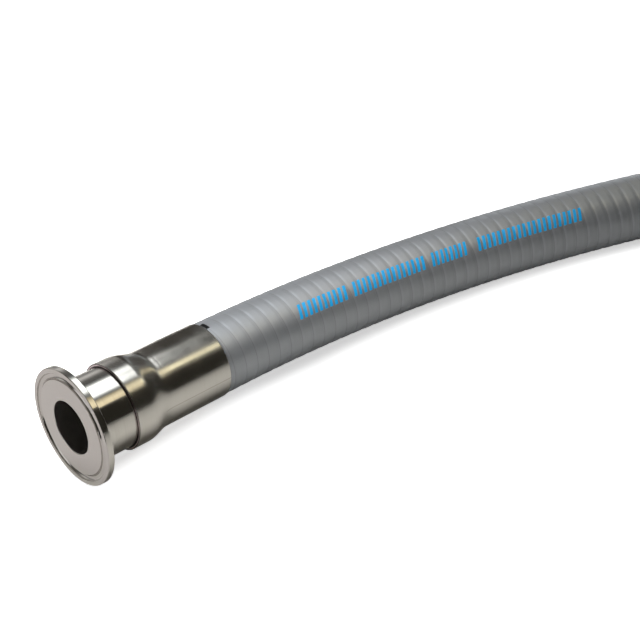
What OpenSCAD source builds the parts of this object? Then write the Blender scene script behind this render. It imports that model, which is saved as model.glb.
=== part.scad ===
// Flexible transfer hose with a clamp ferrule swaged on each end.
// It lies as it comes to rest: on the rims of both flanges and on the middle of its bend.

/* [Hose] */
// Bore of the hose, and of the inner tube
hose_bore = 25; // [24.5:0.5:27]
// Outer diameter of the hose
hose_od = 33; // [32:0.5:34]
// Wall of the inner tube
liner_wall = 1.2; // [0.8:0.1:1.6]
// Length along the hose from one sealing face to the other
assembly_length = 500; // [300:10:800]
// Radius of the bend, at the middle of the hose
bend_radius = 480; // [300:10:900]
// Straight run of hose between a sleeve and the bend
straight_run = 3; // [2:0.5:30]

/* [Flange] */
// Diameter of the clamp flange
flange_d = 50.5; // [49:0.5:64]
// Thickness of the flange at its rim
rim_thickness = 2.85; // [2:0.05:4]
// Slope of the back of the flange, which the clamp pulls on
back_angle = 20; // [15:1:25]
// Diameter of the gasket groove, at its middle
groove_d = 43.6; // [40:0.1:44]
// Width of the gasket groove, which has a round floor
groove_w = 2.8; // [2:0.1:3.4]
// Rounding of the turned edges
edge_round = 0.4; // [0.2:0.1:0.6]

/* [Ferrule] */
// Bore of the ferrule, flush with a standard pipe
ferrule_bore = 23; // [16:0.5:23]
// Outer diameter of the neck behind the flange
neck_d = 35; // [34:0.5:36]
// Fillet between the neck and the back of the flange
neck_fillet = 0.8; // [0.4:0.1:1.5]
// Distance from the sealing face to the front of the sleeve
sleeve_start = 19.6; // [12:0.2:40]
// Length of neck that the sleeve covers
neck_cover = 7.4; // [5:0.2:14]
// Number of barbs on the tail
barb_count = 6; // [3:1:7]
// Distance from barb to barb
barb_pitch = 4.6; // [3:0.2:5]
// Height of a barb
barb_height = 0.4; // [0.2:0.1:0.5]
// Distance that the tail stops short of the sleeve's rear end
tail_setback = 2.6; // [1:0.2:5]

/* [Sleeve] */
// Length of the sleeve
sleeve_length = 49; // [48:0.5:70]
// Wall of the sleeve
sleeve_wall = 1.45; // [1:0.05:2]
// Length of the stretch where the swage draws the sleeve down
swage_length = 10.4; // [8:0.2:14]
// How far the swage presses the hose in, on each side
squeeze = 1.1; // [0.6:0.1:1.3]
// Length over which the hose swells again behind the sleeve
swell_length = 1.2; // [0.6:0.1:2]

/* [Fits] */
// Gap between pieces that are pressed or bonded together
clearance = 0.05; // [0.02:0.01:0.1]
// Gap between the hose's end and the shoulder of the neck
end_gap = 0.3; // [0.1:0.1:1]

/* [Hidden] */
$fn = 96;
STEEL = [0.77, 0.76, 0.72];
BLACK = [0.12, 0.12, 0.13];
GREY = [0.58, 0.59, 0.62];
ARC_STEPS = 5;
CURVE_STEPS = 12;
flange_r = flange_d / 2;
bore_r = ferrule_bore / 2;
neck_r = neck_d / 2;
hose_r = hose_od / 2;
crest_r = hose_bore / 2 + barb_height / 2;
root_r = hose_bore / 2 - barb_height / 2;
liner_r = hose_bore / 2 + liner_wall;
taper_end = rim_thickness + (flange_r - neck_r) * tan(back_angle);
neck_end = sleeve_start + neck_cover;
sleeve_end = sleeve_start + sleeve_length;
hose_start = neck_end + end_gap;
tail_end = sleeve_end - tail_setback;
barb_start = tail_end - barb_count * barb_pitch;
bend_start = sleeve_end + straight_run;
// The bend, seen square to the plane that the hose lies in
half_angle = (assembly_length / 2 - bend_start) / bend_radius * 180 / PI;
rise = bend_radius * (1 - cos(half_angle)) + bend_start * sin(half_angle);
// The tilt of that plane at which both rims and the middle of the bend touch the ground
rim_back = rim_thickness - edge_round;
arm = rise - rim_back * sin(half_angle);
reach = arm * arm + pow(flange_r * sin(half_angle), 2);
spare = flange_r * flange_r - hose_r * hose_r;
tilt = asin((sqrt(pow(arm * hose_r, 2) + reach * spare) - arm * hose_r) / reach);
axis_y = sin(half_angle) * cos(tilt);
axis_z = sin(half_angle) * sin(tilt);
// Height of the face centres, and the offset that centres the two fittings on the origin
face_z = flange_r * sqrt(1 - axis_z * axis_z) + rim_back * axis_z;
sleeve_r = hose_r - squeeze + clearance + sleeve_wall;
face_y = ((flange_r - sleeve_r) * sqrt(1 - axis_y * axis_y) - sleeve_end * axis_y) / 2;

// Points of a round edge about c, from angle a to angle b
function round_edge(c, r, a, b) =
    [for (i = [0:ARC_STEPS]) c + r * [cos(a + (b - a) * i / ARC_STEPS), sin(a + (b - a) * i / ARC_STEPS)]];

// Smooth step from 0 to 1
function ease(u) = (1 - cos(180 * u)) / 2;

// Inner radius of the sleeve at a place in the stretch that is drawn down, u from 0 to 1
function sleeve_inside(u) = neck_r + clearance + (hose_r - squeeze - neck_r) * ease(u);

// Wall of the sleeve along that stretch, at a distance out from its inner face
function swage_line(out) =
    [for (i = [0:CURVE_STEPS]) [sleeve_inside(i / CURVE_STEPS) + out,
                                neck_end + swage_length * i / CURVE_STEPS]];

// Barbed surface of the tail, from the shoulder to its end, at a distance out from the metal
function barb_line(out) = concat(
    [[root_r + out, neck_end]],
    [for (i = [0:barb_count - 1], r = [root_r, crest_r]) [r + out, barb_start + i * barb_pitch]],
    [[root_r + out, tail_end]]);

// Outside of the hose in the sleeve: pressed by the swage, then swelling out behind it
function cover_line() = concat(
    [[hose_r, hose_start]],
    [for (p = swage_line(-clearance)) if (p[0] < hose_r && p[1] > hose_start) p],
    [for (i = [0:CURVE_STEPS]) [hose_r - squeeze * (1 - sin(90 * i / CURVE_STEPS)),
                                sleeve_end + swell_length * (1 - cos(90 * i / CURVE_STEPS))]],
    [[hose_r, bend_start]]);

// Places the bend, whose centre lies below the middle of the hose in its own plane
module at_bend() {
    translate([0, face_y, face_z])
        rotate([-tilt, 0, 0])
        translate([0, rise - bend_radius, 0])
        children();
}

// Places an end piece, which is drawn along +Z from its sealing face; side is -1 near, 1 far
module at_end(side) {
    at_bend()
        rotate([0, 0, 90 - side * half_angle])
        translate([bend_radius, 0, 0])
        rotate([-side * 90, 0, 0])
        translate([0, 0, -bend_start])
        children();
}

// One turned piece: flange with gasket groove, neck, and barbed tail
module ferrule(side) {
    color(STEEL) at_end(side) difference() {
        rotate_extrude() polygon(concat(
            round_edge([bore_r + edge_round, edge_round], edge_round, 180, 270),
            round_edge([flange_r - edge_round, edge_round], edge_round, 270, 360),
            round_edge([flange_r - edge_round, rim_thickness - edge_round], edge_round, 0, 90 - back_angle),
            neck_foot(),
            [[neck_r, neck_end - edge_round], [neck_r - edge_round, neck_end]],
            barb_line(0),
            [[bore_r, tail_end]]));
        rotate_extrude() translate([groove_d / 2, 0]) circle(d = groove_w);
    }
}

// Fillet between the sloping back of the flange and the neck
function neck_foot() = round_edge(
    [neck_r + neck_fillet, taper_end + neck_fillet * (1 - sin(back_angle)) / cos(back_angle)],
    neck_fillet, 270 - back_angle, 180);

// Drawn tube, plain over the neck and swaged down on the hose
module sleeve(side) {
    color(STEEL) at_end(side) rotate_extrude() polygon(concat(
        [[neck_r + clearance, sleeve_start]],
        round_edge([neck_r + clearance + sleeve_wall - edge_round, sleeve_start + edge_round],
                   edge_round, 270, 360),
        swage_line(sleeve_wall),
        round_edge([sleeve_r - edge_round, sleeve_end - edge_round], edge_round, 0, 90),
        round_edge([sleeve_r - sleeve_wall + edge_round, sleeve_end - edge_round], edge_round, 90, 180),
        reverse(swage_line(0))));
}

function reverse(v) = [for (i = [len(v) - 1:-1:0]) v[i]];

// Inner tube, stretched over the barbs at both ends
module hose_liner() {
    color(BLACK) {
        for (side = [-1, 1]) at_end(side) rotate_extrude() polygon(concat(
            [for (p = barb_line(clearance)) [p[0], max(p[1], hose_start)]],
            [[hose_bore / 2, tail_end], [hose_bore / 2, bend_start],
             [liner_r, bend_start], [liner_r, hose_start]]));
        bent_tube(hose_bore, 2 * liner_r);
    }
}

// Reinforced outer wall, bonded on the inner tube
module hose_cover() {
    color(GREY) {
        for (side = [-1, 1]) at_end(side) rotate_extrude() polygon(concat(
            [[liner_r + clearance, hose_start]],
            cover_line(),
            [[liner_r + clearance, bend_start]]));
        bent_tube(2 * (liner_r + clearance), hose_od);
    }
}

// The curved stretch of a tube with the given inner and outer diameters
module bent_tube(inner_d, outer_d) {
    at_bend() rotate([0, 0, 90 - half_angle]) rotate_extrude(angle = 2 * half_angle)
        translate([bend_radius, 0]) difference() {
            circle(d = outer_d);
            circle(d = inner_d);
        }
}

ferrule(-1);  // near_ferrule
sleeve(-1);  // near_sleeve
ferrule(1);  // far_ferrule
sleeve(1);  // far_sleeve
hose_liner();
hose_cover();
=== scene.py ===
from math import cos, hypot, pi, radians, sin, sqrt

import bpy
from mathutils import Matrix, Vector


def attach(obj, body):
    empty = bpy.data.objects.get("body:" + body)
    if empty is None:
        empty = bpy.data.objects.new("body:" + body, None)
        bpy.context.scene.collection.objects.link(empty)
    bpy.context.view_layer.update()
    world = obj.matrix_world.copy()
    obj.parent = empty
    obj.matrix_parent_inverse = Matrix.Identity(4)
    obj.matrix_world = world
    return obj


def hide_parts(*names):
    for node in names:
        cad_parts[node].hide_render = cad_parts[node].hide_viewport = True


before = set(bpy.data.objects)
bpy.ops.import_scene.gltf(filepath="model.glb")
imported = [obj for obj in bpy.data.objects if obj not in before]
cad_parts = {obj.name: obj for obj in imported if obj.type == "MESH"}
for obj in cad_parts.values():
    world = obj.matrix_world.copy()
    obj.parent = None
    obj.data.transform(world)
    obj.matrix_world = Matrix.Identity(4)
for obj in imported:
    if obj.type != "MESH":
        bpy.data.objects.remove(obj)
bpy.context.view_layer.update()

bpy.ops.object.select_all(action="DESELECT")

# Camera. It looks down by 30 degrees past the near fitting, along the hose, which runs out of the
# picture on the right.
view = bpy.data.cameras.new("view")
view.sensor_width = 36
view.lens = 64.456
view_from = bpy.data.objects.new("view", view)
view_from.location = (-0.27611, -0.39332, 0.27613)
view_from.rotation_euler = (radians(59.937), radians(5.383), radians(-23.559))
bpy.context.collection.objects.link(view_from)
bpy.context.scene.camera = view_from
bpy.context.scene.view_settings.view_transform = "Standard"

# Route of the hose. It leaves each fitting straight and lies in one even bend between them, in a
# plane that leans on the two flanges and on the middle of the hose. A place on it is given by its
# distance from the near sealing face.
HOSE_LENGTH = 0.5
BEND_RADIUS = 0.48
BEND_START = 0.0716
HALF_ANGLE = (HOSE_LENGTH / 2 - BEND_START) / BEND_RADIUS
TILT = radians(8.656327)
NEAR_FACE = Vector((-0.241032, -0.008418, 0.025346))
FAR_FACE = Vector((0.241032, -0.008418, 0.025346))
ACROSS = Vector((0, sin(TILT), cos(TILT)))


def heading(angle):
    """Direction of the hose where it has turned by an angle from the middle of the bend."""
    return Vector((cos(angle), sin(angle) * cos(TILT), -sin(angle) * sin(TILT)))


def hose_at(s):
    """Point on the middle line of the hose, and the two directions across it."""
    turned = min(max((s - BEND_START) / BEND_RADIUS, 0), 2 * HALF_ANGLE)
    first = heading(HALF_ANGLE)
    inward = first.cross(ACROSS)
    point = NEAR_FACE + min(s, BEND_START) * first
    point += BEND_RADIUS * (sin(turned) * first + (1 - cos(turned)) * inward)
    along = heading(HALF_ANGLE - turned)
    point += max(s - HOSE_LENGTH + BEND_START, 0) * along
    return point, ACROSS, along.cross(ACROSS)


# Hose. A grey elastomer cover is extruded over a wound steel wire, which leaves one soft spiral
# rib on it. Under the sleeves it is pressed in, and it swells out again behind them. The ink on it
# is one short black tick behind the near sleeve, and a broken blue line of slanted bars.
OUTSIDE = 0.0165
PRESSED = 0.0154
LINER = 0.01375
SLEEVE_END = 0.0686
IN_SLEEVE = 0.0042
SWELL = 0.0012
SWELL_RINGS = 6
RIB_PITCH = 0.0065
RIB_SEAM = 0.0758
RIB_DEPTH = 0.00018
RIB_RISE = 0.20
RIB_FALL = 0.34
RIB_GROWS_OVER = 0.003
RINGS_PER_RIB = 12
INSIDE_STEP = 0.005
INSIDE_RINGS = 71
ROUND = 96
COVER_GREY = (0.375, 0.392, 0.418, 1)
CLOUD_GREY = (0.35, 0.36, 0.38, 1)
SEAM_SHADE_GREY = (0.12, 0.12, 0.14, 1)
TICK_BLACK = (0.004, 0.004, 0.005, 1)
TICK_PLACES = (0.0691, 0.0707)
TICK_DEGREES = (1.0, 17.5)
INK_BLUE = (0.002, 0.47, 1.0, 1)
INK_DEGREES = (46.0, 69.0)
INK_MIDDLE = 57.5
INK_LEAN = 0.00007
INK_GROUPS = ((0.1116, 0.1406, 10), (0.1434, 0.1864, 15), (0.1896, 0.2110, 8),
              (0.2166, 0.2784, 21))
INK_MARGIN = 0.05
INK_BAR = (0.24, 0.76)


def rib_height(s, turn):
    """How far the spiral rib stands above the seam between two turns, from 0 to 1."""
    u = ((s - RIB_SEAM) / RIB_PITCH - turn) % 1
    if u < RIB_RISE:
        return (1 - cos(pi * u / RIB_RISE)) / 2
    return (1 - cos(pi * min(1, (1 - u) / RIB_FALL))) / 2


def cover_radius(s, turn):
    """Outer radius of the cover, at a place along it and a part of a turn round it."""
    out = min(s, HOSE_LENGTH - s) - SLEEVE_END
    if out <= 0:
        return PRESSED
    full = OUTSIDE - RIB_DEPTH * (1 - rib_height(s, turn)) * min(1, out / RIB_GROWS_OVER)
    if out >= SWELL:
        return full
    return PRESSED + (full - PRESSED) * sqrt(1 - (1 - out / SWELL) ** 2)


def cover_stations():
    """Places of the rings along the hose: close together in the swell, then twelve to a rib."""
    start, end = SLEEVE_END - IN_SLEEVE, HOSE_LENGTH - SLEEVE_END + IN_SLEEVE
    swell = [SLEEVE_END + SWELL * (1 - cos(pi / 2 * i / SWELL_RINGS))
             for i in range(SWELL_RINGS + 1)]
    first, last = swell[-1], HOSE_LENGTH - swell[-1]
    steps = round((last - first) / (RIB_PITCH / RINGS_PER_RIB))
    ribbed = [first + (last - first) * i / steps for i in range(1, steps)]
    return [start] + swell + ribbed + [HOSE_LENGTH - s for s in reversed(swell)] + [end]


def hose_cover():
    """The tube of the cover, and the points that it follows. Each of its own points keeps the
    direction and the place along the hose at which it stands."""
    stations = cover_stations()
    inside = [SLEEVE_END + INSIDE_STEP * i for i in range(1, INSIDE_RINGS + 1)]
    inside = stations[:1] + inside + stations[-1:]
    outer, inner = len(stations), len(inside)
    verts, faces, wound = [], [], []
    for n, s in enumerate(stations + inside):
        centre, across, inward = hose_at(s)
        for j in range(ROUND):
            turn = j / ROUND
            over, beside = cos(2 * pi * turn), sin(2 * pi * turn)
            radius = cover_radius(s, turn) if n < outer else LINER
            verts.append(centre + radius * (over * across + beside * inward))
            wound.append((over, beside, s))
    rings = [(i, i + 1, False) for i in range(outer - 1)]
    rings += [(outer + i, outer + i + 1, True) for i in range(inner - 1)]
    rings += [(0, outer, True), (outer - 1, outer + inner - 1, False)]
    for i, k, turned in rings:
        for j in range(ROUND):
            n = (j + 1) % ROUND
            face = (i * ROUND + j, i * ROUND + n, k * ROUND + n, k * ROUND + j)
            faces.append(face[::-1] if turned else face)
    mesh = bpy.data.meshes.new("hose")
    mesh.from_pydata(verts, [], faces)
    store = mesh.attributes.new("wound", "FLOAT_VECTOR", "POINT")
    store.data.foreach_set("vector", [x for v in wound for x in v])
    mesh.shade_smooth()
    hose = bpy.data.objects.new("hose", mesh)
    bpy.context.collection.objects.link(hose)
    return hose, [hose_at(s)[0] for s in stations]


hose, hose_path = hose_cover()


def new_material(name, **values):
    """Material with one Principled shader, with plain values set on the shader itself."""
    material = bpy.data.materials.new(name)
    material.use_nodes = True
    tree = material.node_tree
    shader = tree.nodes["Principled BSDF"]
    for key, value in values.items():
        shader.inputs[key.replace("_", " ")].default_value = value
    return material, tree, shader


def link(tree, kind, inputs=(), **settings):
    """Adds a node, sets it, and joins its inputs: a socket is linked and a value is written."""
    node = tree.nodes.new("ShaderNode" + kind)
    for key, value in settings.items():
        setattr(node, key, value)
    for key, value in dict(inputs).items():
        if isinstance(value, bpy.types.NodeSocket):
            tree.links.new(value, node.inputs[key])
        else:
            node.inputs[key].default_value = value
    return node


def sums(tree, operation, *values):
    """One step of arithmetic."""
    return link(tree, "Math", enumerate(values), operation=operation).outputs[0]


def noise(tree, scale, detail, place=None):
    """Cloudy grain from 0 to 1, at a place, or on the piece's own coordinates."""
    inputs = {"Scale": scale, "Detail": detail}
    if place is not None:
        inputs["Vector"] = place
    return link(tree, "TexNoise", inputs).outputs[0]


def ramp(tree, value, start, end, low=0.0, high=1.0, **settings):
    """Goes from low to high while a value goes from start to end."""
    return link(tree, "MapRange", {"Value": value, "From Min": start, "From Max": end,
                                   "To Min": low, "To Max": high}, **settings).outputs[0]


def between(tree, value, low, high, soft):
    """1 where a value lies from low to high, falling to 0 over a soft edge."""
    return sums(tree, "MULTIPLY", ramp(tree, value, low - soft, low),
                ramp(tree, value, high, high + soft, 1.0, 0.0))


def mixed(tree, share, one, other):
    """Colour between two others, which are sockets or colours."""
    return link(tree, "Mix", {0: share, 6: one, 7: other}, data_type="RGBA").outputs[2]


def bump(tree, shader, height, strength, distance):
    node = link(tree, "Bump", {"Height": height, "Strength": strength, "Distance": distance})
    tree.links.new(node.outputs[0], shader.inputs["Normal"])


def blue_line(tree, place, degrees):
    """1 on the bars of the blue line, which stand in groups along the hose."""
    lean = sums(tree, "MULTIPLY", sums(tree, "SUBTRACT", degrees, INK_MIDDLE), INK_LEAN)
    line = None
    for start, end, bars in INK_GROUPS:
        count = ramp(tree, sums(tree, "ADD", place, lean), start, end, 0.0, bars, clamp=False)
        group = between(tree, count, INK_MARGIN, bars - INK_MARGIN, 0.02)
        stroke = between(tree, sums(tree, "FRACT", count), *INK_BAR, 0.05)
        group = sums(tree, "MULTIPLY", group, stroke)
        line = sums(tree, "ADD", line, group) if line else group
    return sums(tree, "MULTIPLY", line, between(tree, degrees, *INK_DEGREES, 0.4))


def cover_material():
    material, tree, shader = new_material("grey_cover")
    wound = link(tree, "Attribute", attribute_name="wound")
    over, beside, place = link(tree, "SeparateXYZ", {0: wound.outputs["Vector"]}).outputs
    turn = sums(tree, "DIVIDE", sums(tree, "ARCTAN2", beside, over), 2 * pi)
    # 40 ribs ahead keep the count above zero, and the half puts the seam between two at 0.5
    ribs = sums(tree, "DIVIDE", sums(tree, "SUBTRACT", place, RIB_SEAM), RIB_PITCH)
    ribs = sums(tree, "FRACT", sums(tree, "ADD", sums(tree, "SUBTRACT", ribs, turn), 40.5))
    seam = between(tree, ribs, 0.485, 0.515, 0.03)
    cloud = noise(tree, scale=60.0, detail=3.0)
    grain = noise(tree, scale=2600.0, detail=2.0)
    tone = mixed(tree, sums(tree, "MULTIPLY", cloud, 0.35), COVER_GREY, CLOUD_GREY)
    # Painted shade darkens the seam, the shallow valley between two turns of the rib
    tone = mixed(tree, sums(tree, "MULTIPLY", seam, 0.30), tone, SEAM_SHADE_GREY)
    degrees = sums(tree, "MULTIPLY", turn, 360.0)
    tick = sums(tree, "MULTIPLY", between(tree, place, *TICK_PLACES, 0.0001),
                between(tree, degrees, *TICK_DEGREES, 0.5))
    tone = mixed(tree, tick, tone, TICK_BLACK)
    line = blue_line(tree, place, degrees)
    tone = mixed(tree, line, tone, INK_BLUE)
    # The cover shines a little like graphite, and the ink on it doesn't
    metal = sums(tree, "MULTIPLY", sums(tree, "SUBTRACT", 1.0, line), 0.50)
    tree.links.new(metal, shader.inputs["Metallic"])
    tree.links.new(tone, shader.inputs["Base Color"])
    tree.links.new(ramp(tree, cloud, 0.0, 1.0, 0.38, 0.46), shader.inputs["Roughness"])
    bump(tree, shader, grain, 0.05, 0.0001)
    return material


hose.data.materials.append(cover_material())
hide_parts("hose_cover")
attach(hose, "root")

# Ferrules. Each is turned from one bar of stainless steel: a clamp flange with a round gasket
# groove in its lapped sealing face, a plain neck, and a tail that stays hidden in the hose.
BORE = 0.0115
FLANGE = 0.02525
RIM = 0.00285
BACK = radians(20)
NECK = 0.0175
NECK_END = 0.0270
FOOT_ROUND = 0.0008
TAIL = 0.0132
TAIL_END = 0.0660
GROOVE = 0.0218
GROOVE_WIDTH = 0.0014
EDGE = 0.0004
LATHE_STEPS = 192
LONG_LINE = 0.0008
HELD_AT = 0.00006
STEEL = (0.56, 0.54, 0.51, 1)
MARKED_STEEL = (0.46, 0.44, 0.40, 1)


def arc(centre, radius, start, end, steps=6):
    """Points of a rounded edge, as radius and place along the axis; angles in degrees."""
    points = []
    for i in range(steps + 1):
        angle = radians(start + (end - start) * i / steps)
        points.append((centre[0] + radius * cos(angle), centre[1] + radius * sin(angle)))
    return points


def held(outline):
    """The outline with a point close to each end of every long line, so that flats shade flat."""
    points = []
    for (r, z), (r2, z2) in zip(outline, outline[1:] + outline[:1]):
        points.append((r, z))
        run = hypot(r2 - r, z2 - z)
        if run > LONG_LINE:
            for part in (HELD_AT / run, 1 - HELD_AT / run):
                points.append((r + (r2 - r) * part, z + (z2 - z) * part))
    return points


def turned(name, outline):
    """A closed outline turned about the axis, from one ring that is drawn on and resized."""
    outline = held(outline)
    bpy.ops.mesh.primitive_circle_add(vertices=LATHE_STEPS, radius=outline[0][0],
                                      location=(0, 0, outline[0][1]))
    piece = bpy.context.object
    piece.name = piece.data.name = name
    bpy.ops.object.transform_apply()
    bpy.ops.object.mode_set(mode="EDIT")
    bpy.ops.mesh.select_all(action="SELECT")
    for (r, z), (r2, z2) in zip(outline, outline[1:] + outline[:1]):
        bpy.ops.mesh.extrude_edges_move(TRANSFORM_OT_translate={"value": (0, 0, z2 - z)})
        bpy.ops.transform.resize(value=(r2 / r, r2 / r, 1), center_override=(0, 0, z2))
    bpy.ops.mesh.select_all(action="SELECT")
    bpy.ops.mesh.remove_doubles(threshold=2e-7)
    bpy.ops.mesh.normals_make_consistent(inside=False)
    bpy.ops.object.mode_set(mode="OBJECT")
    bpy.ops.object.shade_smooth_by_angle(angle=radians(35))
    # Each point keeps its place on the lathe, which the marks in the steel follow
    store = piece.data.attributes.new("lathe", "FLOAT_VECTOR", "POINT")
    store.data.foreach_set("vector", [x for v in piece.data.vertices for x in v.co])
    return piece


def fitted(piece, face, along):
    """Moves a piece from the lathe to its end of the hose, with its face at the given point."""
    side = along.cross(ACROSS)
    piece.matrix_world = Matrix.Translation(face) @ Matrix(
        (ACROSS, side, along)).transposed().to_4x4()
    bpy.ops.object.select_all(action="DESELECT")
    piece.select_set(True)
    bpy.context.view_layer.objects.active = piece
    bpy.ops.object.transform_apply()


def both_ends(piece, near_name, far_name):
    """The piece at the near end, and a copy of it with its own mesh at the far end."""
    other = piece.copy()
    other.data = piece.data.copy()
    bpy.context.collection.objects.link(other)
    piece.name = piece.data.name = near_name
    other.name = other.data.name = far_name
    fitted(piece, NEAR_FACE, heading(HALF_ANGLE))
    fitted(other, FAR_FACE, -heading(-HALF_ANGLE))
    return piece, other


def ferrule_outline():
    back = RIM + (FLANGE - NECK) * sin(BACK) / cos(BACK)
    foot = (NECK + FOOT_ROUND, back + FOOT_ROUND * (1 - sin(BACK)) / cos(BACK))
    return (
        arc((BORE + EDGE, EDGE), EDGE, 180, 270)
        + arc((GROOVE, 0), GROOVE_WIDTH, 180, 0, 20)
        + arc((FLANGE - EDGE, EDGE), EDGE, 270, 360)
        + arc((FLANGE - EDGE, RIM - EDGE), EDGE, 0, 70)
        + arc(foot, FOOT_ROUND, 250, 180)
        + [(NECK, NECK_END - EDGE), (NECK - EDGE, NECK_END)]
        + [(TAIL, NECK_END), (TAIL, TAIL_END), (BORE, TAIL_END)]
    )


near_ferrule, far_ferrule = both_ends(turned("ferrule", ferrule_outline()),
                                      "near_clamp_end", "far_clamp_end")


def length(tree, x, y):
    """How far the point x, y lies from 0, 0."""
    flat = link(tree, "CombineXYZ", {0: x, 1: y})
    return link(tree, "VectorMath", {0: flat.outputs[0]}, operation="LENGTH").outputs["Value"]


def on_lathe(tree):
    """A point's place on the lathe, the three parts of it, its radius, and its radius and its
    place along the axis as one place, on which grain turns into rings."""
    place = link(tree, "Attribute", attribute_name="lathe").outputs["Vector"]
    parts = link(tree, "SeparateXYZ", {0: place}).outputs
    radius = length(tree, parts[0], parts[1])
    return place, parts, radius, link(tree, "CombineXYZ", {0: radius, 1: parts[2]}).outputs[0]


def turned_steel():
    material, tree, shader = new_material("turned_steel", Metallic=1.0, Base_Color=STEEL,
                                          Roughness=0.12)
    place, parts, radius, rings = on_lathe(tree)
    marks = noise(tree, 9000.0, 2.0, rings)
    feed = noise(tree, 1900.0, 1.0, rings)
    haze = noise(tree, 160.0, 3.0, place)
    # The bore is reamed and duller than the outside
    bore = ramp(tree, radius, BORE + 0.00005, BORE + 0.0002, 0.19, 0.0)
    rough = sums(tree, "ADD", ramp(tree, haze, 0.3, 0.7, 0.09, 0.15), bore)
    tree.links.new(rough, shader.inputs["Roughness"])
    lines = sums(tree, "MULTIPLY", ramp(tree, feed, 0.52, 0.72), 0.5)
    tree.links.new(mixed(tree, lines, STEEL, MARKED_STEEL), shader.inputs["Base Color"])
    height = sums(tree, "ADD", marks, sums(tree, "MULTIPLY", feed, 2.0))
    bump(tree, shader, height, 0.08, 0.00005)
    return material


lathe_finish = turned_steel()
for piece, node in ((near_ferrule, "near_ferrule"), (far_ferrule, "far_ferrule")):
    piece.data.materials.append(lathe_finish)
    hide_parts(node)
    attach(piece, "root")

# Sleeves. Each is a drawn stainless tube, pushed over the neck and swaged down on the hose in a
# press, which leaves two faint rings from the dies and one fine line along the tube. Its sawn
# front face has painted shade, brown along both edges, and a painted pinkish reflection between
# them.
SLEEVE_START = 0.0196
SLEEVE_WALL = 0.00145
SLEEVE_IN = NECK + 0.00005
SLEEVE_EDGE = 0.0004
SWAGE_LENGTH = 0.0104
SWAGE_STEPS = 24
DIP = 0.00002
DIP_STEPS = 5
DIP_BEFORE_END = 2
DRAWN_PLACES = (0.0300, 0.0372)
LINE_DEGREES = (103.7, 104.1)
LINE_PLACES = (0.034, 0.0684)
FIRST_RING = (0.03395, 0.03405)
SECOND_RING = (0.03945, 0.03955)
REFLECTION_BAND = (SLEEVE_IN + 0.00055, SLEEVE_IN + 0.00085)
LINE_BROWN = (0.16, 0.15, 0.13, 1)
EDGE_SHADE_BROWN = (0.07, 0.053, 0.053, 1)
PAINTED_REFLECTION_PINK = (0.75, 0.64, 0.65, 1)


def swage_line(out, dip):
    """Wall of the sleeve where it is drawn down, at a distance out from its inner face. The corner
    of the die leaves a slight dip at its end."""
    line = []
    for i in range(SWAGE_STEPS + DIP_STEPS - 1):
        part = min(i / SWAGE_STEPS, 1)
        low = max(0, 1 - abs(i - SWAGE_STEPS + DIP_BEFORE_END) / DIP_STEPS)
        line.append((SLEEVE_IN + (PRESSED - SLEEVE_IN) * (1 - cos(pi * part)) / 2 + out
                     - dip * (1 - cos(pi * low)) / 2, NECK_END + SWAGE_LENGTH * i / SWAGE_STEPS))
    return line


def sleeve_outline():
    outer, grip, e = SLEEVE_IN + SLEEVE_WALL, PRESSED + SLEEVE_WALL, SLEEVE_EDGE
    return (
        [(SLEEVE_IN, SLEEVE_START)]
        + arc((outer - e, SLEEVE_START + e), e, 270, 360)
        + swage_line(SLEEVE_WALL, DIP)
        + arc((grip - e, SLEEVE_END - e), e, 0, 90)
        + arc((PRESSED + e, SLEEVE_END - e), e, 90, 180)
        + swage_line(0, 0)[::-1]
    )


near_sleeve, far_sleeve = both_ends(turned("sleeve", sleeve_outline()),
                                    "near_swaged_sleeve", "far_swaged_sleeve")


def drawn_steel():
    material, tree, shader = new_material("drawn_steel", Metallic=1.0, Base_Color=STEEL,
                                          Roughness=0.18)
    place, parts, radius, rings = on_lathe(tree)
    stretched = link(tree, "VectorMath", {0: place, 1: (1.0, 1.0, 0.02)}, operation="MULTIPLY")
    draw = noise(tree, 3500.0, 2.0, stretched.outputs[0])
    polish = noise(tree, 2400.0, 2.0, rings)
    haze = noise(tree, 120.0, 3.0, place)
    cut = noise(tree, 6000.0, 1.0, rings)
    # The drawn-down part is a little duller, and so is the sawn face
    drawn = between(tree, parts[2], *DRAWN_PLACES, 0.003)
    sawn = ramp(tree, parts[2], SLEEVE_START + 0.00001, SLEEVE_START + 0.00007, 1.0, 0.0)
    rough = sums(tree, "ADD", ramp(tree, haze, 0.3, 0.7, 0.15, 0.22),
                 sums(tree, "MULTIPLY", drawn, 0.03))
    rough = sums(tree, "ADD", rough, sums(tree, "MULTIPLY", sawn, 0.1))
    tree.links.new(rough, shader.inputs["Roughness"])
    degrees = sums(tree, "MULTIPLY", sums(tree, "ARCTAN2", parts[1], parts[0]), 180 / pi)
    seam = sums(tree, "MULTIPLY", between(tree, degrees, *LINE_DEGREES, 0.3),
                between(tree, parts[2], *LINE_PLACES, 0.0002))
    tone = mixed(tree, sums(tree, "MULTIPLY", seam, 0.75), STEEL, LINE_BROWN)
    fine = sums(tree, "MULTIPLY", ramp(tree, polish, 0.5, 0.72), 0.35)
    tone = mixed(tree, fine, tone, MARKED_STEEL)
    # Painted brown shade along both edges of the sawn face, a painted pinkish reflection between
    reflected = sums(tree, "MULTIPLY", between(tree, radius, *REFLECTION_BAND, 0.0002),
                sums(tree, "ADD", cut, 0.35))
    tone = mixed(tree, sawn, tone, mixed(tree, reflected, EDGE_SHADE_BROWN, PAINTED_REFLECTION_PINK))
    tree.links.new(tone, shader.inputs["Base Color"])
    second = sums(tree, "MULTIPLY", between(tree, parts[2], *SECOND_RING, 0.0003), 0.6)
    pressed = sums(tree, "ADD", between(tree, parts[2], *FIRST_RING, 0.00025), second)
    height = sums(tree, "SUBTRACT", draw, sums(tree, "MULTIPLY", pressed, 1.6))
    bump(tree, shader, sums(tree, "ADD", height, polish), 0.12, 0.00004)
    return material


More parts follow.
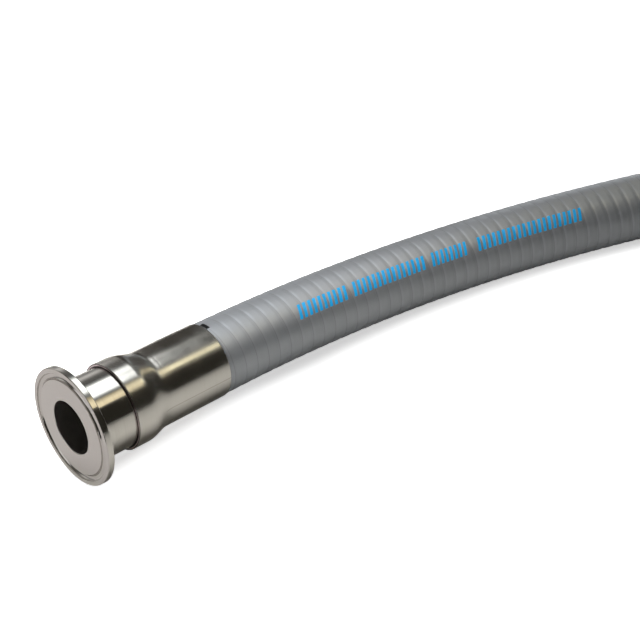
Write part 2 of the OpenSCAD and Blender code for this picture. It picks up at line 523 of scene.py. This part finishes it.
tube_finish = drawn_steel()
for piece, node in ((near_sleeve, "near_sleeve"), (far_sleeve, "far_sleeve")):
    piece.data.materials.append(tube_finish)
    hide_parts(node)
    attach(piece, "root")

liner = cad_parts["hose_liner"]
hose_at(SLEEVE_END)[0]

# Inner tube. It is black fluoropolymer that is stretched over the barbs of the ferrules, and only
# its smooth bore can be seen, through the fittings.
LINER_BLACK = (0.012, 0.012, 0.013, 1)


def liner_material():
    material, tree, shader = new_material("black_liner", Base_Color=LINER_BLACK)
    haze = noise(tree, scale=90.0, detail=2.0)
    tree.links.new(ramp(tree, haze, 0.0, 1.0, 0.28, 0.42), shader.inputs["Roughness"])
    return material


liner.data.materials.clear()
liner.data.materials.append(liner_material())

# Floor. It is pale, and glows more and more away from the hose, so that it turns white. Beside the
# hose the glow is weaker, which paints a soft shadow there over the real one. Towards the ends the
# glow starts closer to the hose.
FLOOR_PALE = (0.8, 0.8, 0.79, 1)
PAINTED_SHADOW_PLACES = (0.0055, 0.017)
GLOW_LEVELS = (0.57, 1.0)
TOWARDS_ENDS = (0.12, 0.19)
CLOSER = 0.0064
BEYOND_ENDS = 0.25
bpy.ops.object.select_all(action="DESELECT")
bpy.ops.mesh.primitive_plane_add(size=14, location=(0, 0, 0))
floor = bpy.context.object
floor.name = "floor"
bpy.ops.object.transform_apply()


def seen(tree):
    """1 where a surface is looked at, in a mirror or through glass too, and 0 where it lights."""
    path = link(tree, "LightPath")
    either = sums(tree, "MAXIMUM", path.outputs["Is Camera Ray"], path.outputs["Is Glossy Ray"])
    return sums(tree, "MAXIMUM", either, path.outputs["Is Transmission Ray"])


def floor_material():
    material, tree, shader = new_material("pale_floor", Base_Color=FLOOR_PALE, Roughness=1.0,
                                          Specular_IOR_Level=0.0, Emission_Color=(1, 1, 1, 1))
    parts = link(tree, "SeparateXYZ", {0: link(tree, "TexCoord").outputs["Object"]}).outputs
    # The bend is an arc about one point, and the hose leaves that arc where it runs straight
    centre = hose_at(HOSE_LENGTH / 2)[0] + BEND_RADIUS * Vector((0, -cos(TILT), 0))
    sideways = sums(tree, "ABSOLUTE", parts[0])
    deep = sums(tree, "DIVIDE", sums(tree, "SUBTRACT", parts[1], centre.y), cos(TILT))
    straight = sums(tree, "SUBTRACT", sideways, BEND_RADIUS * sin(HALF_ANGLE))
    straight = sums(tree, "POWER", sums(tree, "MAXIMUM", straight, 0.0), 2.0)
    straight = sums(tree, "MULTIPLY", straight, 0.5 / BEND_RADIUS / cos(HALF_ANGLE) ** 3)
    away = sums(tree, "SUBTRACT", length(tree, parts[0], deep), BEND_RADIUS)
    away = sums(tree, "ABSOLUTE", sums(tree, "SUBTRACT", away, straight))
    closer = ramp(tree, sideways, *TOWARDS_ENDS, 0.0, CLOSER, interpolation_type="SMOOTHSTEP")
    away = sums(tree, "ADD", away, closer)
    # Beyond the fittings and on the other half of the circle there is no painted shadow
    beyond = sums(tree, "SUBTRACT", sideways, BEYOND_ENDS)
    away = sums(tree, "ADD", away, sums(tree, "MAXIMUM", beyond, 0.0))
    away = sums(tree, "ADD", away, sums(tree, "MAXIMUM", sums(tree, "MULTIPLY", deep, -1.0), 0.0))
    # The glow is weaker near the hose, which paints the shadow band beside it
    glow = ramp(tree, away, *PAINTED_SHADOW_PLACES, *GLOW_LEVELS, interpolation_type="SMOOTHSTEP")
    tree.links.new(sums(tree, "MULTIPLY", seen(tree), glow), shader.inputs["Emission Strength"])
    return material


floor.data.materials.append(floor_material())

# Light. A weak white sky, a large soft lamp over the near end, a small one over the far fitting,
# and two lamps that give the cover of the hose its soft sheen and light nothing else. The second
# of them stands behind the far half, for looks from the back.
world = bpy.data.worlds.new("studio")
bpy.context.scene.world = world
world.use_nodes = True
sky_tree = world.node_tree
sky = sky_tree.nodes["Background"]
sky.inputs["Color"].default_value = (1, 1, 1, 1)
sky_tree.links.new(ramp(sky_tree, seen(sky_tree), 0.0, 1.0, 0.18, 1.0), sky.inputs["Strength"])


def aim(obj, azimuth, elevation, distance, target):
    """Puts a lamp or card in a direction from the object, facing it. Azimuth 0 is +Y, 90 +X."""
    az, el = radians(azimuth), radians(elevation)
    way = Vector((sin(az) * cos(el), cos(az) * cos(el), sin(el)))
    obj.location = Vector(target) + distance * way
    obj.rotation_euler = way.to_track_quat("Z", "Y").to_euler()


def lamp(name, azimuth, elevation, distance, width, height, power, colour, target, spread=180):
    """A soft lamp of a width and height in metres, a power in watts and a spread in degrees."""
    light = bpy.data.lights.new(name, "AREA")
    light.shape, light.size, light.size_y = "RECTANGLE", width, height
    light.energy, light.color, light.spread = power, colour, radians(spread)
    obj = bpy.data.objects.new(name, light)
    bpy.context.collection.objects.link(obj)
    aim(obj, azimuth, elevation, distance, target)
    obj.visible_camera = False
    obj.visible_glossy = False
    return obj


lamp("overhead", 0, 82, 0.36, 0.26, 0.26, 1.62, (1, 1, 1), (-0.28, 0.02, 0.02))
lamp("far_overhead", 0, 88, 0.34, 0.15, 0.15, 0.12, (1, 1, 1), (0.29, 0.01, 0.02), spread=40)
sheen = lamp("sheen", 88, 52, 0.234, 0.36, 0.10, 0.037, (1, 0.98, 0.95), hose_at(0.09)[0],
             spread=100)
sheen.visible_glossy = True
back_sheen = lamp("back_sheen", 12, 10, 0.26, 0.18, 0.08, 0.12, (1, 1, 1), hose_at(0.44)[0],
                  spread=75)
cover_only = bpy.data.collections.new("cover_only")
cover_only.objects.link(hose)
sheen.light_linking.receiver_collection = cover_only
back_sheen.light_linking.receiver_collection = cover_only

# Cards. They only show as reflections in the steel. Most of them stand on a ring about the near
# fitting, inside a dark room on a slightly wider ring.
CARD_RING = 0.44
ROOM_RING = 0.45
CARD_STEP = 12
OVER_NECK = (0.05, 0.256)
OVER_GRIP = (0.258, 0.344)


def mirrored_only(obj):
    """Shows a thing of the studio to mirrors alone."""
    obj.visible_camera = obj.visible_diffuse = obj.visible_shadow = False
    obj.visible_transmission = False


def lit(obj, colour):
    """Gives a card its light, whose level is stored on its points."""
    material, tree, shader = new_material(obj.name)
    tree.nodes.remove(shader)
    level = link(tree, "Attribute", attribute_name="shine")
    glow = link(tree, "Emission", {"Color": colour, "Strength": level.outputs["Fac"]})
    tree.links.new(glow.outputs[0], tree.nodes["Material Output"].inputs[0])
    obj.data.materials.append(material)
    mirrored_only(obj)


def card(name, stops, places, colour, slant=0, ring=CARD_RING):
    """A card bent on a ring about the near fitting. A stop is a turn about its axis, in degrees
    from the top, and the brightness there. Places are distances along the axis from the sealing
    face. A slanted card gains so many degrees over its length."""
    turns, levels = [], []
    for (turn, level), (turn2, level2) in zip(stops, stops[1:]):
        steps = int((turn2 - turn) / CARD_STEP) + 1
        turns += [turn + (turn2 - turn) * i / steps for i in range(steps)]
        levels += [level + (level2 - level) * i / steps for i in range(steps)]
    turns.append(stops[-1][0])
    levels.append(stops[-1][1])
    bpy.ops.object.select_all(action="DESELECT")
    bpy.ops.mesh.primitive_grid_add(x_subdivisions=2, y_subdivisions=len(turns) - 1)
    obj = bpy.context.object
    obj.name = name
    along = heading(HALF_ANGLE)
    side = along.cross(ACROSS)
    shine = obj.data.attributes.new("shine", "FLOAT", "POINT")
    for vert in obj.data.vertices:
        part, column = (vert.co.x + 1) / 2, round((vert.co.y + 1) / 2 * (len(turns) - 1))
        z = places[0] + (places[1] - places[0]) * part
        t = radians(turns[column] + slant * part)
        vert.co = NEAR_FACE + z * along + ring * (cos(t) * ACROSS + sin(t) * side)
        shine.data[vert.index].value = levels[column]
    lit(obj, colour)


card("dark_room", ((-120, 0.1), (97, 0.1)), (-1.0, 2.0), (1, 0.96, 0.88, 1), ring=ROOM_RING)
# Over the neck: white softbox, warm tube beside it, grey behind, dark in front
card("softbox", ((-29, 0.12), (-22, 0.30), (-18, 0.8), (-12, 2.9), (-1, 2.9), (2, 1.5),
                 (5, 2.9), (16, 2.7), (21, 1.4), (23, 0.6), (26, 0.3), (30, 0.3)),
     OVER_NECK, (0.96, 1, 1, 1))
card("warm_tube", ((30.5, 0.35), (35, 0.7), (39, 1.15), (43, 1.45), (48, 1.5), (53, 1.35)),
     OVER_NECK, (1, 0.88, 0.60, 1), slant=-3)
card("front_dark", ((55, 0.03), (97, 0.03)), (-1.0, 0.44), (1, 0.93, 0.75, 1))
card("back_window", ((-116, 1.0), (-90, 1.0)), (-0.3, 0.297), (0.98, 1, 0.99, 1))
card("back_grey", ((-90, 0.44), (-77, 0.30), (-69, 0.40), (-62, 0.78), (-55, 0.80), (-49, 0.5),
                   (-43, 0.27), (-38, 0.17), (-30, 0.17)), (-0.3, 0.236), (1, 0.99, 0.97, 1))
# Behind the drawn-down part of the sleeve
card("back_shade", ((-90, 0.5), (-76, 0.38), (-62, 0.36), (-52, 0.26), (-42, 0.17), (-30, 0.18)),
     (0.238, 0.250), (1, 0.97, 0.92, 1))
card("back_bend", ((-90, 1.3), (-83, 1.2), (-77, 0.42), (-62, 0.36), (-52, 0.26), (-42, 0.17),
                   (-30, 0.18)), (0.2505, 0.2625), (1, 0.98, 0.94, 1))
card("bend_window", ((-90, 1.3), (-84.5, 1.3)), (0.263, 0.284), (1, 0.98, 0.95, 1))
# Over the grip of the sleeve
card("grey_card", ((-25, 0.1), (-19, 0.15), (-11, 0.32), (-3, 0.24), (8, 0.10), (17, 0.13),
                   (29, 0.45)), OVER_GRIP, (1, 1, 0.96, 1))
card("warm_grip", ((30, 1.2), (33, 1.8), (40, 1.9), (44, 1.6)), OVER_GRIP, (1, 0.94, 0.66, 1))
card("grip_shade", ((-84, 0.065), (-27, 0.065)), (0.264, 0.344), (1, 0.93, 0.82, 1))
card("grip_back", ((-116, 1.2), (-90, 1.1)), (0.298, 0.344), (1, 0.97, 0.9, 1))
# Along the hose, and beyond it, where the front of the drawn-down part looks
card("long_softbox", ((-25, 0.17), (24, 0.22)), (0.346, 0.432), (0.95, 0.985, 1, 1))
card("warm_long", ((25, 0.6), (52, 0.6)), (0.346, 0.432), (1, 0.97, 0.86, 1), slant=-12)
card("long_back", ((-78, 0.25), (-50, 0.3), (-26, 0.5)), (0.346, 0.410), (0.92, 0.97, 1, 1))
card("far_softbox", ((-20, 0.22), (10, 0.19)), (0.434, 0.530), (0.95, 0.98, 1, 1))
card("warm_far", ((12, 0.5), (17, 1.0), (24, 1.0), (29, 0.5)), (0.434, 0.58), (1, 0.93, 0.66, 1),
     slant=-16)
card("warm_end", ((-8, 0.5), (0, 0.8), (12, 0.8)), (0.582, 0.80), (1, 0.90, 0.62, 1), slant=-5)
card("far_grey", ((-24, 0.2), (-8, 0.2)), (0.532, 1.1), (1, 0.98, 0.95, 1))
card("far_window", ((-116, 1.1), (-79, 1.1)), (0.346, 0.550), (0.97, 0.99, 1, 1))
card("end_window", ((-116, 1.8), (-79, 1.8)), (0.552, 0.84), (0.97, 0.99, 1, 1))
card("last_window", ((-116, 1.9), (-74, 1.9), (-60, 1.0), (-30, 0.3)), (0.842, 1.6),
     (0.97, 0.99, 1, 1))
card("far_dark", ((32, 0.03), (97, 0.03)), (0.445, 1.6), (1, 0.93, 0.8, 1))


def panel(name, azimuth, elevation, distance, width, height, target, colour, level):
    """A flat card in a direction from a point, facing it."""
    bpy.ops.object.select_all(action="DESELECT")
    bpy.ops.mesh.primitive_plane_add(size=1)
    obj = bpy.context.object
    obj.name = name
    obj.scale = (width, height, 1)
    aim(obj, azimuth, elevation, distance, target)
    bpy.ops.object.transform_apply()
    shine = obj.data.attributes.new("shine", "FLOAT", "POINT")
    shine.data.foreach_set("value", [level] * len(obj.data.vertices))
    lit(obj, colour)


# A dark board stands on the table in front of the sealing face, and shows in its groove
panel("dark_board", -138, -1, 0.10, 0.15, 0.045, NEAR_FACE, (1, 0.93, 0.87, 1), 0.03)
# and a pale window over it, in front of the fitting
panel("front_window", -106, 34, 0.22, 0.15, 0.17, NEAR_FACE, (0.99, 0.98, 1, 1), 1.0)
# A pale wall stands behind the far fitting, for looks from the back
panel("far_wall", 10, 12, 0.24, 0.34, 0.12, hose_at(HOSE_LENGTH - 0.035)[0],
      (0.97, 0.99, 1, 1), 0.8)

# Table. The steel mirrors a grey table with the real shadows on it, just above the floor. It is a
# little darker past the near end, where the sealing face looks, and behind the fitting a slanted
# strip of it glows, a painted strip of light, which shows in the drawn-down part of the sleeve.
TABLE_HEIGHT = 0.0003
TABLE_GREY = (0.73, 0.715, 0.665, 1)
DARKER_GREY = (0.646, 0.614, 0.606, 1)
DARKER_BEFORE = (-0.006, -0.001)
STRIP_PLACES = (0.030, 0.049)
STRIP_SLANT = 0.5
STRIP_BEHIND = (0.06, 0.4238)
STRIP_LIGHT = 0.75
bpy.ops.object.select_all(action="DESELECT")
bpy.ops.mesh.primitive_plane_add(size=3, location=(0, 0, TABLE_HEIGHT))
table = bpy.context.object
table.name = "table_card"
bpy.ops.object.transform_apply()


def past_end(tree, way):
    """How far a place lies past the near sealing face, along a direction."""
    place = link(tree, "TexCoord").outputs["Object"]
    along = link(tree, "VectorMath", {0: place, 1: way}, operation="DOT_PRODUCT")
    return sums(tree, "SUBTRACT", along.outputs["Value"], NEAR_FACE.dot(way))


def table_material():
    material, tree, shader = new_material("table_grey", Roughness=1.0, Specular_IOR_Level=0.0,
                                          Emission_Color=(1, 0.98, 0.95, 1))
    axis = heading(HALF_ANGLE)
    tone = mixed(tree, ramp(tree, past_end(tree, axis), *DARKER_BEFORE), DARKER_GREY, TABLE_GREY)
    tree.links.new(tone, shader.inputs["Base Color"])
    away = ACROSS.cross(axis)
    # The slanted strip glows: painted light, which the drawn-down sleeve mirrors
    strip = sums(tree, "MULTIPLY",
                 between(tree, past_end(tree, away), *STRIP_BEHIND, 0.02),
                 between(tree, past_end(tree, axis - STRIP_SLANT * away), *STRIP_PLACES, 0.006))
    tree.links.new(sums(tree, "MULTIPLY", strip, STRIP_LIGHT), shader.inputs["Emission Strength"])
    return material


table.data.materials.append(table_material())
mirrored_only(table)
